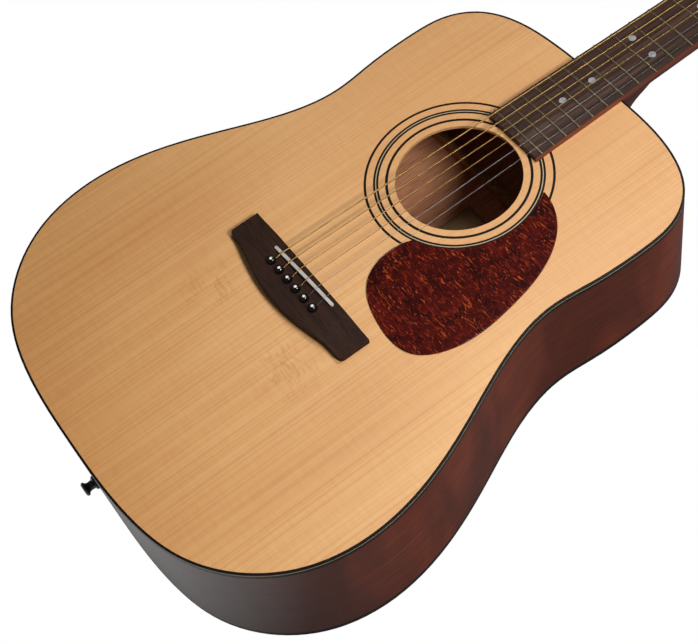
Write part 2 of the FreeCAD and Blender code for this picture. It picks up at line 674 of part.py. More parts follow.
def head_wood():
    """Headstock under its facing plate, with the volute that joins it to the neck."""
    plate = slab(head_outline(), -HEAD_THICK, -HEADPLATE_THICK)
    root = block(-NUT_WIDE / 2, NUT_WIDE / 2, -16, 0, -HEAD_THICK, -HEADPLATE_THICK)
    wood = head_place(plate.fuse(root))
    above_neck = block(-60, 60, NUT_Y - 60, NUT_Y + NUT_LONG, 0, 30)
    return wood.cut(above_neck)


def rod_pocket():
    """Opening in the headstock's face through which the truss rod's nut is turned."""
    wide, long, deep = ROD_POCKET
    return head_place(block(-wide / 2, wide / 2, 0, long, -deep, 1))


def make_neck(tenon):
    start = BODY_END_Y - 1
    shaft = Part.makeLoft([shaft_section(start, board_half(start), NECK_DEPTH_HEEL),
                           shaft_section(NUT_Y + NUT_LONG, NUT_WIDE / 2, NECK_DEPTH_NUT)], True, True)
    heel = Part.makeLoft([heel_section(*s) for s in HEEL_SLICES], True, False)
    cap_plane = block(-40, 40, BODY_END_Y - 20, NUT_Y, -140, HEEL_CAP_THICK - DEPTH_NECK)
    heel = heel.cut(cap_plane)
    neck = shaft.fuse([heel, head_wood(), tenon_solid()]).removeSplitter()
    body = rim_slab(0, -200, 0.5).cut(tenon)
    channel_wide, channel_deep = ROD_CHANNEL
    channel = block(-channel_wide / 2, channel_wide / 2, BODY_END_Y + 6, NUT_Y + 1, -channel_deep, 1)
    nut_bore = rod(ROD_NUT_RADIUS + ROD_PLAY, V(0, NUT_Y + ROD_NUT[0] - ROD_PLAY, -ROD_OUT),
                   V(0, NUT_Y + ROD_POCKET[1], -ROD_OUT))
    holes = [head_place(rod(BUSH_RADIUS, V(side * POST_X, s, -30), V(side * POST_X, s, 5)))
             for side in (-1, 1) for s in POST_ALONG]
    screws = housing_screws() + cover_screws()
    neck = neck.cut([body, channel, nut_bore, rod_pocket()] + holes + screws)
    save("neck", *sorted(neck.Solids, key=lambda s: -s.Volume)[:1])


def tenon_solid():
    wide, long, deep = TENON
    top = -BINDING_TALL - TENON_DROP
    return block(-wide / 2, wide / 2, BODY_END_Y - long, BODY_END_Y + 4, -deep, top)


def make_heel_cap():
    last = HEEL_SLICES[-1]
    top = HEEL_CAP_THICK - DEPTH_NECK
    wire = heel_section(0, last[1], last[2])
    cap = slab(wire, top - HEEL_CAP_THICK, top)
    save("heel_cap", cap.cut(rim_slab(0, -200, 0)))


def make_truss_rod():
    """Rod with a square anchor at the body end and a hex socket nut at the headstock."""
    foot = BODY_END_Y + 7
    nut_start, nut_end = (NUT_Y + reach for reach in ROD_NUT)
    corner, deep = ROD_KEY
    bar = rod(ROD_RADIUS, V(0, foot, -ROD_OUT), V(0, nut_start, -ROD_OUT))
    anchor = block(-ROD_RADIUS, ROD_RADIUS, foot, foot + ROD_ANCHOR, -ROD_CHANNEL[1] + ROD_PLAY, -1)
    nut = rod(ROD_NUT_RADIUS, V(0, nut_start, -ROD_OUT), V(0, nut_end, -ROD_OUT))
    key = []
    for i in range(7):
        turn = math.pi / 3 * i
        key.append(V(corner * math.cos(turn), nut_end - deep, corner * math.sin(turn) - ROD_OUT))
    socket = Part.Face(Part.makePolygon(key)).extrude(V(0, 2 * deep, 0))
    save("truss_rod", bar.fuse([anchor, nut]).removeSplitter().cut(socket))


def cover_outline():
    curve = [V(half, along, 0) for half, along in COVER_STATIONS]
    left = [V(-p.x, p.y, 0) for p in reversed(curve)]
    return Part.Wire([spline(curve).toShape(), Part.makeLine(curve[-1], left[0]), spline(left).toShape(),
                      Part.Arc(left[-1], V(0, COVER_TIP, 0), curve[0]).toShape()])


def small_screw(x, along, out, direction, shank):
    """Wood screw with a domed, slotted head sitting on a face at height out."""
    foot = V(x, along, out)
    up = V(0, 0, direction)
    wide, narrow, straight, dome = SCREW_HEAD
    head = Part.makeCylinder(wide, straight, foot, up)
    crown = Part.makeCone(wide, narrow, dome, foot + up * straight, up)
    shaft = Part.makeCylinder(SCREW_SHANK, shank, foot, up * -1)
    slot = block(x - wide, x + wide, along - 0.25, along + 0.25, -dome / 2, dome / 2)
    slot.translate(V(0, 0, out) + up * (straight + dome))
    return head_place(head.fuse([crown, shaft]).removeSplitter().cut(slot))


def cover_screws():
    return [small_screw(x, along, COVER_THICK, 1, long) for x, along, long in COVER_SCREWS]


def make_headplate():
    plate = head_place(slab(head_outline(), -HEADPLATE_THICK, 0))
    plate = plate.cut(block(-60, 60, NUT_Y - 60, NUT_Y + NUT_LONG, -20, 30))
    holes = [head_place(rod(BUSH_RADIUS, V(side * POST_X, s, -30), V(side * POST_X, s, 5)))
             for side in (-1, 1) for s in POST_ALONG]
    save("headplate", plate.cut([rod_pocket()] + holes + cover_screws()))
    cover = head_place(slab(cover_outline(), 0, COVER_THICK))
    save("truss_rod_cover", cover.cut(cover_screws()))


# ---- tuning machines -----------------------------------------------------------------------
WORM_ALONG = GEAR_RADIUS + WORM_RADIUS + WORM_GAP
GEAR_OUT = -HEAD_THICK - HOUSING_WALL - GEAR_GAP - GEAR_THICK     # foot of the gear
SHAFT_OUT = GEAR_OUT + GEAR_THICK / 2


def housing_box(side, along, shrink=0.0):
    """Outer (or, shrunk by the wall, inner) box of a housing behind the headstock."""
    across, length, deep = HOUSING
    x = side * POST_X
    s0 = along - GEAR_RADIUS - HOUSING_BACK
    return block(x - across / 2 + shrink, x + across / 2 - shrink, s0 + shrink, s0 + length - shrink,
                 -HEAD_THICK - deep + shrink, -HEAD_THICK - shrink)


def lug_centre(along):
    return along - GEAR_RADIUS - HOUSING_BACK - LUG[1] / 2


def housing_screws():
    return [small_screw(side * POST_X, lug_centre(s), -HEAD_THICK - LUG[2], -1, LUG_SCREW)
            for side in (-1, 1) for s in POST_ALONG]


def make_housings():
    housings = []
    for side in (-1, 1):
        for s in POST_ALONG:
            x = side * POST_X
            box = housing_box(side, s)
            wide, long, thick = LUG
            middle = lug_centre(s)
            lug = block(x - wide / 2, x + wide / 2, middle - long / 2 - 1, middle + long / 2 + 1,
                        -HEAD_THICK - thick, -HEAD_THICK)
            cavity = housing_box(side, s, HOUSING_WALL)
            throat = rod(BUSH_BORE, V(x, s, -HEAD_THICK - 3), V(x, s, -HEAD_THICK + 1))
            worm = s + WORM_ALONG
            bore = rod(SHAFT_RADIUS + SHAFT_PLAY, V(x, worm, SHAFT_OUT), V(x + side * 20, worm, SHAFT_OUT))
            shell = box.fuse(lug).removeSplitter().cut([cavity, throat, bore])
            housings.append(head_place(shell))
    housings = [h.cut(housing_screws()) for h in housings]
    save("tuner_housings", *housings)


def make_bushings():
    bushings = []
    for side in (-1, 1):
        for s in POST_ALONG:
            x = side * POST_X
            sleeve = rod(BUSH_RADIUS, V(x, s, -HEAD_THICK), V(x, s, 0))
            washer = rod(WASHER_RADIUS, V(x, s, 0), V(x, s, WASHER_THICK))
            collar = Part.makeCone(*BUSH_COLLAR, V(x, s, WASHER_THICK))
            bore = rod(BUSH_BORE, V(x, s, -HEAD_THICK - 1), V(x, s, POST_ABOVE))
            bushings.append(head_place(sleeve.fuse([washer, collar]).removeSplitter().cut(bore)))
    save("tuner_bushings", *bushings)


def gear_disc(x, along):
    """Toothed disc on the post; the teeth leave room for the worm's thread."""
    disc = Part.makeCylinder(GEAR_ROOT, GEAR_THICK, V(x, along, GEAR_OUT))
    teeth = []
    for i in range(GEAR_TEETH):
        tooth = block(x, x + GEAR_RADIUS, along - TOOTH / 2, along + TOOTH / 2,
                      GEAR_OUT, GEAR_OUT + GEAR_THICK)
        tooth.rotate(V(x, along, 0), V(0, 0, 1), 360 * i / GEAR_TEETH)
        teeth.append(tooth)
    return disc.fuse(teeth).removeSplitter()


def make_post(index):
    side, s = post_of(index)
    x = side * POST_X
    shaft = rod(POST_RADIUS, V(x, s, GEAR_OUT - POST_FOOT), V(x, s, POST_ABOVE))
    cap = Part.makeCone(POST_RADIUS, POST_RADIUS - POST_CAP, POST_CAP, V(x, s, POST_ABOVE))
    radius, drop = POST_HOLE
    across = 2 * POST_RADIUS
    hole = rod(radius, V(x - across, s, POST_ABOVE - drop), V(x + across, s, POST_ABOVE - drop))
    post = shaft.fuse([cap, gear_disc(x, s)]).removeSplitter().cut(hole)
    save("tuner_%d_post" % (6 - index), head_place(post))


def make_worm_shaft(index):
    side, s = post_of(index)
    x = side * POST_X
    worm = s + WORM_ALONG
    inner = x - side * (HOUSING[0] / 2 - HOUSING_WALL - 0.3)
    outer = side * (POST_X + HOUSING[0] / 2 + BUTTON_STEM)
    shaft = rod(SHAFT_RADIUS, V(inner, worm, SHAFT_OUT), V(outer, worm, SHAFT_OUT))
    threads = []
    count, pitch, wide = THREAD
    for i in range(count):
        ring = V(x + (i - (count - 1) / 2) * pitch, worm, SHAFT_OUT)
        threads.append(rod(WORM_RADIUS, ring - V(wide / 2, 0, 0), ring + V(wide / 2, 0, 0)))
    save("tuner_%d_worm_shaft" % (6 - index), head_place(shaft.fuse(threads).removeSplitter()))


def make_button(index):
    """Oval button on the outer end of the worm shaft."""
    side, s = post_of(index)
    worm = s + WORM_ALONG
    out, thick, wide = BUTTON
    start = POST_X + HOUSING[0] / 2 + BUTTON_STEM
    oval = Part.Ellipse(V(0, 0, 0), wide / 2, out / 2).toShape()
    body = Part.Face(Part.Wire(oval)).extrude(V(0, 0, thick))
    # The oval's long side runs along the headstock.
    body.rotate(V(0, 0, 0), V(0, 0, 1), 90)
    body.translate(V(start + BUTTON_NECK[1] + out / 2, worm, SHAFT_OUT - thick / 2))
    body = body.makeFillet(thick * BUTTON_ROUND, body.Edges)
    radius, bare = BUTTON_NECK
    neck = rod(radius, V(start, worm, SHAFT_OUT), V(start + bare + thick * BUTTON_ROUND + 1, worm, SHAFT_OUT))
    button = body.fuse(neck).removeSplitter()
    if side < 0:
        button = button.mirror(V(0, 0, 0), V(1, 0, 0))
    save("tuner_%d_button" % (6 - index), head_place(button))


# ---- everything ----------------------------------------------------------------------------
def make_strings():
    strings = [string_solid(i) for i in range(6)]
    save("wound_strings", *strings[:4])
    save("plain_strings", *strings[4:])
    balls = []
    for index in range(6):
        x = string_x(index, PIN_SPREAD)
        top = -TOP_THICK - PLATE_THICK - 0.2
        balls.append(rod(BALL_RADIUS, V(x - 2, PIN_Y + BALL_AHEAD, top - BALL_RADIUS - 0.3),
                         V(x + 2, PIN_Y + BALL_AHEAD, top - BALL_RADIUS - 0.3)))
    save("string_ball_ends", *balls)


def main():
    os.makedirs("parts", exist_ok=True)
    tenon = tenon_solid()
    top_binding, back_binding = make_binding()
    make_ribs(top_binding, back_binding, tenon)
    make_linings(make_blocks(tenon))
    channels = [string_channel(i) for i in range(6)]
    holes = [pin_taper(i) for i in range(6)] + channels
    make_soundboard(make_rosette(), holes)
    make_back()
    make_pickguard()
    make_bridge(channels)
    make_pins(channels)
    make_top_braces(holes)
    make_back_braces()
    make_strap_button()
    make_fretboard()
    make_nut()
    make_neck(tenon)
    make_heel_cap()
    make_truss_rod()
    make_headplate()
    save("headstock_screws", *(housing_screws() + cover_screws()))
    make_housings()
    make_bushings()
    for index in range(6):
        make_post(index)
        make_worm_shaft(index)
        make_button(index)
    make_strings()


main()
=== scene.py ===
"""Looks of the steel-string acoustic guitar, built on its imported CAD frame.

Everything is in metres in the guitar's own frame: origin at the soundhole's centre on the
soundboard's face, +Y to the headstock, +X to the treble side, +Z out of the soundboard.
"""
import json
import math

import bpy
from mathutils import Matrix, Vector


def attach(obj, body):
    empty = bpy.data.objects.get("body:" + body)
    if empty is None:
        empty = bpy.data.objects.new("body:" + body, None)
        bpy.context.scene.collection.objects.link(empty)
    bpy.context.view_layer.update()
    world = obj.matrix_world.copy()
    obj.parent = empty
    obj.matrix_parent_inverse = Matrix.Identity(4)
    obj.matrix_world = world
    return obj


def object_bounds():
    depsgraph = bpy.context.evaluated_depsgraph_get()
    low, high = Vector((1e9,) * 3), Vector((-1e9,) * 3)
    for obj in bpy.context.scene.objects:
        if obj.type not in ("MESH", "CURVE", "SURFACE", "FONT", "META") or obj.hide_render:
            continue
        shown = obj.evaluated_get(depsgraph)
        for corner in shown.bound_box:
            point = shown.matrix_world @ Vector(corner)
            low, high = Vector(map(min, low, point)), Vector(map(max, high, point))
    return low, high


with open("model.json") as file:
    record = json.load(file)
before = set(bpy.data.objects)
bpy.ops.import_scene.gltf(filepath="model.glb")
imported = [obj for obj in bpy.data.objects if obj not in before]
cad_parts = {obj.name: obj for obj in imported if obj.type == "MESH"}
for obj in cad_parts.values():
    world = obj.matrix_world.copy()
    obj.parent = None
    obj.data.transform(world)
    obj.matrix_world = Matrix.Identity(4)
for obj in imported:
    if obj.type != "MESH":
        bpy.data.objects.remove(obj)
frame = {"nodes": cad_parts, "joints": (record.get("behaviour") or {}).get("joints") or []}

CAD_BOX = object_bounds()
NODES = frame["nodes"]

# ---- camera, from the calibrated viewpoint ---------------------------------------------
CAMERA_PLACE = Vector((0.6066, -0.3611, 0.9476))
CAMERA_AIM = Vector((-0.0081, -0.1003, 0.0))      # where the lens axis meets the soundboard
CAMERA_ROLL = math.radians(15.24)                 # clockwise lean of the picture's upright
SENSOR_WIDE = 36.0
CAMERA_FOCAL = 77.132                             # millimetres, for that sensor
CAMERA_SHIFT = (-0.0020, -0.1165)                 # the picture is cropped below the lens axis

# ---- floor and lights ------------------------------------------------------------------
FLOOR_HALF = 8.0
FLOOR_GAP = 0.0005                                # below the lowest point of the back
FLOOR_TONES = ((0.17, 0.17, 0.17), (0.20, 0.20, 0.20))
FLOOR_WHITENESS = 0.997                           # a lit sweep that throws little light back
# painted reflection: the floor's glow seen only in glossy faces, brightest behind the tail
FLOOR_SHEEN = (0.95, 0.05)                        # how bright glossy faces see it: tail, elsewhere
FLOOR_SHEEN_Y = (-0.44, -0.30)                    # where the first fades into the second
WORLD_LIGHT = 0.09
# Round soft boxes: name, place, aim, width, watts, width of the beam in degrees.
SOFT_BOXES = (
    ("key", (0.96, 0.13, 0.94), (0.0, -0.02, 0.0), 0.32, 13.6, 180.0),
    ("overhead", (-0.05, 0.42, 1.20), (0.14, -0.08, 0.0), 0.42, 1.25, 80.0),
)


# ---- shader helpers --------------------------------------------------------------------
class Shader:
    """A node material whose textures are laid out in the guitar's frame, per metre."""

    def __init__(self, name, roughness=0.5, metallic=0.0):
        self.mat = bpy.data.materials.new(name)
        self.mat.use_nodes = True
        self.nodes = self.mat.node_tree.nodes
        self.links = self.mat.node_tree.links
        self.bsdf = self.nodes["Principled BSDF"]
        self.set("Roughness", roughness)
        self.set("Metallic", metallic)
        self.place = self.add("ShaderNodeTexCoord").outputs["Object"]

    def add(self, kind, **settings):
        node = self.nodes.new(kind)
        for key, value in settings.items():
            setattr(node, key, value)
        return node

    def feed(self, socket, value):
        """Set a socket to a value, a colour, or another node's output."""
        if isinstance(value, bpy.types.NodeSocket):
            self.links.new(value, socket)
        elif isinstance(value, (tuple, list)) and len(value) == 3 and socket.type == "RGBA":
            socket.default_value = (*value, 1.0)
        else:
            socket.default_value = value

    def set(self, name, value):
        self.feed(self.bsdf.inputs[name], value)

    def math(self, operation, a, b=0.0):
        node = self.add("ShaderNodeMath", operation=operation)
        self.feed(node.inputs[0], a)
        self.feed(node.inputs[1], b)
        return node.outputs[0]

    def stretched(self, per_metre, turn=(0.0, 0.0, 0.0), place=None):
        node = self.add("ShaderNodeMapping")
        self.feed(node.inputs["Vector"], place or self.place)
        node.inputs["Rotation"].default_value = turn
        node.inputs["Scale"].default_value = per_metre
        return node.outputs["Vector"]

    def noise(self, per_metre, detail=3.0, rough=0.55, distort=0.0, turn=(0.0, 0.0, 0.0), place=None):
        node = self.add("ShaderNodeTexNoise")
        self.feed(node.inputs["Vector"], self.stretched(per_metre, turn, place))
        node.inputs["Scale"].default_value = 1.0
        node.inputs["Detail"].default_value = detail
        node.inputs["Roughness"].default_value = rough
        node.inputs["Distortion"].default_value = distort
        return node.outputs["Fac"]

    def ramp(self, factor, stops):
        node = self.add("ShaderNodeValToRGB")
        self.feed(node.inputs["Fac"], factor)
        elements = node.color_ramp.elements
        while len(elements) < len(stops):
            elements.new(0.5)
        for element, (place, colour) in zip(elements, stops):
            tone = colour if isinstance(colour, tuple) else (colour, colour, colour)
            element.position = place
            element.color = (*tone, 1.0)
        return node.outputs["Color"]

    def spread(self, factor, low, high, from_low=0.0, from_high=1.0):
        node = self.add("ShaderNodeMapRange")
        for name, value in (("Value", factor), ("From Min", from_low), ("From Max", from_high),
                            ("To Min", low), ("To Max", high)):
            self.feed(node.inputs[name], value)
        return node.outputs["Result"]

    def mix(self, factor, a, b, blend="MIX"):
        node = self.add("ShaderNodeMix", data_type="RGBA", blend_type=blend)
        self.feed(node.inputs[0], factor)
        self.feed(node.inputs[6], a)
        self.feed(node.inputs[7], b)
        return node.outputs[2]

    def darken(self, amount, colour, factor, stops):
        """Multiply a colour by a ramp of tones, by a given amount."""
        return self.mix(amount, colour, self.ramp(factor, stops), "MULTIPLY")

    def tinted(self, colour, tint):
        return self.mix(1.0, colour, tint, "MULTIPLY")

    def relief(self, height, depth, edge=0.0):
        """Bump of a true depth in metres, on top of edges softened over a radius."""
        node = self.add("ShaderNodeBump")
        node.inputs["Distance"].default_value = depth
        node.inputs["Strength"].default_value = 1.0
        self.feed(node.inputs["Height"], height)
        if edge:
            self.feed(node.inputs["Normal"], self.soft_edge(edge))
        self.set("Normal", node.outputs["Normal"])

    def soft_edge(self, radius):
        node = self.add("ShaderNodeBevel", samples=4)
        node.inputs["Radius"].default_value = radius
        return node.outputs["Normal"]

    def facing(self, letter, sign=0):
        """1 on faces that look along an axis (either way, or only the + way), 0 elsewhere."""
        parts = self.add("ShaderNodeSeparateXYZ")
        self.feed(parts.inputs[0], self.add("ShaderNodeNewGeometry").outputs["True Normal"])
        value = parts.outputs["XYZ".index(letter)]
        return self.math("GREATER_THAN", value if sign else self.math("ABSOLUTE", value), 0.5)

    def near(self, spot, reach):
        """1 at a spot, fading to 0 at a distance from it."""
        distance = self.add("ShaderNodeVectorMath", operation="DISTANCE")
        self.feed(distance.inputs[0], self.place)
        distance.inputs[1].default_value = spot
        return self.spread(distance.outputs["Value"], 1.0, 0.0, reach * 0.4, reach)

    def split(self):
        node = self.add("ShaderNodeSeparateXYZ")
        self.feed(node.inputs[0], self.place)
        return node.outputs


def srgb(red, green, blue):
    """Linear colour from 0..255 screen values."""
    def linear(value):
        value /= 255.0
        return value / 12.92 if value <= 0.04045 else ((value + 0.055) / 1.055) ** 2.4
    return (linear(red), linear(green), linear(blue))


# ---- materials -------------------------------------------------------------------------
WHITE = (1.0, 1.0, 1.0)
RING_PITCH = 0.0014               # between the soundboard's growth rings
# Bear-claw figure in the spruce: place and radius of each patch.
FIGURE_SPOTS = (((0.054, -0.203, 0.0), 0.034), ((-0.046, -0.208, 0.0), 0.028))
OPEN_PORES = ((0.36, (0.35, 0.30, 0.28)), (0.46, WHITE))
DEEP_PORES = ((0.36, (0.30, 0.26, 0.24)), (0.46, WHITE))
PORE_FLOOR = 0.45                 # pores sink below this level of their noise


def mirrored(s):
    """The frame's place with both halves of the book-matched top folded onto one."""
    x, y, z = s.split()
    combine = s.add("ShaderNodeCombineXYZ")
    s.feed(combine.inputs[0], s.math("ABSOLUTE", x))
    s.feed(combine.inputs[1], y)
    s.feed(combine.inputs[2], z)
    return combine.outputs[0]


def growth_lines(s, halves):
    """Fine late-wood lines, a ring apart, that wander a little along the board."""
    x, y, z = s.split()
    wander = s.math("MULTIPLY", s.noise((30, 1.2, 6), 2.0, 0.5, place=halves), 26.0)
    across = s.math("MULTIPLY", s.math("ABSOLUTE", x), math.tau / RING_PITCH)
    return s.math("SINE", s.math("ADD", across, wander))


def spruce():
    """Book-matched top: fine straight rings along Y, faint cross silk, satin finish."""
    s = Shader("spruce_top", 0.45)
    halves = mirrored(s)
    rings = s.noise((620, 2.2, 30), 2.0, 0.5, place=halves)
    bands = s.noise((120, 0.9, 8), 2.0, 0.5, place=halves)
    silk = s.noise((60, 300, 30), 3.0, 0.6, place=halves)
    cloud = s.noise((9, 4, 6), 3.0, 0.5, 0.6, place=halves)
    colour = s.ramp(rings, [(0.30, srgb(228, 171, 113)),
                            (0.50, srgb(237, 183, 124)),
                            (0.70, srgb(241, 190, 132))])
    colour = s.darken(0.15, colour, bands, [(0.30, srgb(224, 200, 176)), (0.48, WHITE), (0.72, WHITE)])
    late_wood = s.spread(growth_lines(s, halves), 0.0, 0.30)
    colour = s.mix(late_wood, colour, s.tinted(colour, srgb(226, 206, 186)))
    shimmer = s.ramp(silk, [(0.35, srgb(190, 140, 95)), (0.65, srgb(255, 225, 180))])
    colour = s.mix(0.09, colour, shimmer, "OVERLAY")
    colour = s.darken(0.30, colour, cloud, [(0.32, srgb(222, 190, 158)), (0.62, WHITE)])
    # painted shade: the top's colour is tinted warmer and darker toward the tail's bass side
    colour = painted_tail_shade(s, colour)
    colour = bear_claw(s, colour)
    s.set("Base Color", colour)
    s.set("Specular IOR Level", 0.75)
    s.set("Roughness", s.spread(silk, 0.40, 0.50))
    s.relief(s.math("ADD", rings, s.math("MULTIPLY", silk, 0.4)), 0.00003)
    return s.mat


def painted_tail_shade(s, colour):
    """Painted shade: the top is tinted a little warmer and darker toward the bass side of the tail,
    where the light's sheen falls off.
    """
    x, y, z = s.split()
    slant = s.math("ADD", y, s.math("MULTIPLY", x, 0.5))
    toward_tail = s.spread(slant, 1.0, 0.0, -0.36, -0.14)
    return s.mix(toward_tail, colour, s.tinted(colour, srgb(246, 238, 222)))


def bear_claw(s, colour):
    claw = s.noise((60, 150, 60), 3.0, 0.65, 1.5, turn=(0.0, 0.0, 0.5))
    figured = s.math("MAXIMUM", *[s.near(spot, reach) for spot, reach in FIGURE_SPOTS])
    marks = s.math("MULTIPLY", s.ramp(claw, [(0.50, 0.0), (0.64, 0.38)]), figured)
    return s.mix(marks, colour, s.tinted(colour, srgb(214, 176, 146)))


def finer(rings):
    """The same grain, five times as fine."""
    return tuple(value * 5 for value in rings)


def grained(name, tones, rings, pores, rough, depth=0.00008, shine=0.35, edge=0.0003, side=None):
    """Hardwood: wide colour bands, fine figure and short dark pores, all along one direction."""
    light, mid, dark = tones
    s = Shader(name)
    bands = s.noise(rings, 3.0, 0.6, 0.8)
    fine = s.noise(finer(rings), 3.0, 0.6)
    pits = s.noise(pores, 2.0, 0.5)
    colour = s.ramp(bands, [(0.28, dark), (0.50, mid), (0.74, light)])
    colour = s.darken(0.55, colour, fine, [(0.32, (0.45, 0.42, 0.40)), (0.62, WHITE)])
    colour = s.darken(0.65, colour, pits, DEEP_PORES)
    if side:
        colour = s.mix(s.facing("X"), colour, side)
    s.set("Base Color", colour)
    s.set("Roughness", s.spread(fine, rough + 0.08, rough - 0.08))
    s.set("Specular IOR Level", shine)
    s.relief(s.math("MINIMUM", pits, PORE_FLOOR), depth, edge)
    return s.mat


def rim_wood(tones, rings, pores):
    """Bent ribs: ribbon-figured grain along the body, darker and glossier toward the tail; the
    darkening toward the tail is painted shade.
    """
    light, mid, dark = tones
    s = Shader("mahogany_rim")
    bands = s.noise(rings, 3.0, 0.6, 0.8)
    ribbon = s.noise((16, 16, 5), 2.0, 0.5, 0.6)
    fine = s.noise(finer(rings), 3.0, 0.6)
    pits = s.noise(pores, 2.0, 0.5)
    colour = s.ramp(bands, [(0.28, mid), (0.50, mid), (0.76, light)])
    colour = s.mix(s.ramp(ribbon, [(0.42, 0.75), (0.62, 0.0)]), colour, dark)
    colour = s.darken(0.35, colour, fine, [(0.32, (0.6, 0.5, 0.46)), (0.62, WHITE)])
    colour = s.darken(0.6, colour, pits, OPEN_PORES)
    toward_tail = s.spread(s.split()[1], 0.75, 0.0, -0.36, -0.20)
    # painted shade: the rib colour is darkened toward the tail
    s.set("Base Color", s.mix(toward_tail, colour, s.tinted(colour, srgb(150, 150, 150))))
    s.set("Roughness", s.spread(fine, 0.48, 0.34))
    s.set("Specular IOR Level", s.spread(toward_tail, 0.14, 0.8, 0.0, 0.75))
    s.relief(s.math("MINIMUM", pits, PORE_FLOOR), 0.0002, 0.0003)
    return s.mat


def back_wood(finished, rings, pores):
    """Back plate: stained and lacquered outside, raw pale mahogany on the face inside the body."""
    s = Shader("mahogany_back")
    bands = s.noise(rings, 3.0, 0.6, 0.8)
    pits = s.noise(pores, 2.0, 0.5)
    light, mid, dark = finished
    outside = s.ramp(bands, [(0.28, dark), (0.50, mid), (0.74, light)])
    raw = s.ramp(bands, [(0.28, srgb(194, 130, 94)),
                         (0.50, srgb(212, 146, 107)),
                         (0.74, srgb(224, 158, 118))])
    inside = s.facing("Z", 1)
    colour = s.mix(inside, outside, raw)
    colour = s.darken(0.6, colour, pits, OPEN_PORES)
    s.set("Base Color", colour)
    s.set("Roughness", s.spread(inside, 0.38, 0.6))
    s.relief(s.math("MINIMUM", pits, PORE_FLOOR), 0.00008, 0.0003)
    return s.mat


def plastic(name, colour, rough, shine=0.5, edge=0.0002):
    """Moulded plastic: a trace of cloudiness in the colour and of polish marks in the gloss."""
    s = Shader(name, rough)
    cloud = s.noise((160, 160, 160), 3.0, 0.5)
    marks = s.noise((900, 300, 900), 2.0, 0.5)
    shade = s.ramp(cloud, [(0.3, tuple(value * 0.82 for value in colour)), (0.7, colour)])
    s.set("Base Color", shade)
    s.set("Roughness", s.spread(marks, rough * 0.75, rough * 1.3))
    s.set("Specular IOR Level", shine)
    s.relief(marks, 0.00001, edge)
    return s.mat


def tortoise():
    """Mottled tortoise pickguard: dark red body, near-black clouds and orange-red flecks."""
    s = Shader("tortoise_pickguard", 0.16)
    clouds = s.noise((46, 46, 46), 4.0, 0.62, 1.4)
    flecks = s.noise((80, 230, 300), 3.0, 0.62, 2.6, turn=(0.0, 0.0, 0.5))
    sparks = s.noise((70, 300, 300), 3.0, 0.62, 2.8, turn=(0.0, 0.0, -0.45))
    body = s.ramp(clouds, [(0.38, srgb(40, 9, 8)), (0.52, srgb(64, 13, 10)), (0.68, srgb(80, 18, 13))])
    colour = s.mix(s.ramp(flecks, [(0.54, 0.0), (0.66, 0.65)]), body, srgb(136, 40, 20))
    colour = s.mix(s.ramp(sparks, [(0.60, 0.0), (0.68, 0.8)]), colour, srgb(194, 84, 36))
    s.set("Base Color", colour)
    s.set("Specular IOR Level", 0.25)
    s.relief(flecks, 0.000006, 0.0006)
    return s.mat


def pearl():
    """Grey mother-of-pearl with slow swirls under a clear coat."""
    s = Shader("pearl_dots", 0.22)
    swirl = s.noise((420, 260, 300), 3.0, 0.6, 2.4)
    s.set("Base Color", s.ramp(swirl, [(0.30, srgb(118, 122, 132)),
                                       (0.52, srgb(168, 172, 176)),
                                       (0.72, srgb(204, 200, 206))]))
    s.set("Coat Weight", 0.8)
    s.relief(swirl, 0.000004)
    return s.mat


def metal(name, colour, rough, brushed=(60, 900, 60), edge=0.0003, grime=0.25):
    """Bare or plated metal with fine brushing and a little tarnish."""
    s = Shader(name, rough, 1.0)
    brush = s.noise(brushed, 3.0, 0.6)
    stain = s.noise((140, 140, 140), 3.0, 0.6)
    tarnished = tuple(value * 0.55 for value in colour)
    s.set("Base Color", s.mix(s.ramp(stain, [(0.45, 0.0), (0.75, grime)]), colour, tarnished))
    s.set("Roughness", s.spread(brush, rough * 0.7, rough * 1.45))
    s.relief(brush, 0.000008, edge)
    return s.mat


def wound(name, colour):
    """Round-wound string: close ridges of the wrap wire along the string."""
    s = Shader(name, 0.34, 1.0)
    wave = s.add("ShaderNodeTexWave", wave_type="BANDS", bands_direction="Y", wave_profile="SIN")
    s.feed(wave.inputs["Vector"], s.place)
    wave.inputs["Scale"].default_value = 550.0
    stain = s.noise((90, 30, 90), 3.0, 0.6)
    s.set("Base Color", s.mix(stain, colour, tuple(value * 0.6 for value in colour)))
    s.relief(wave.outputs["Fac"], 0.00006)
    return s.mat


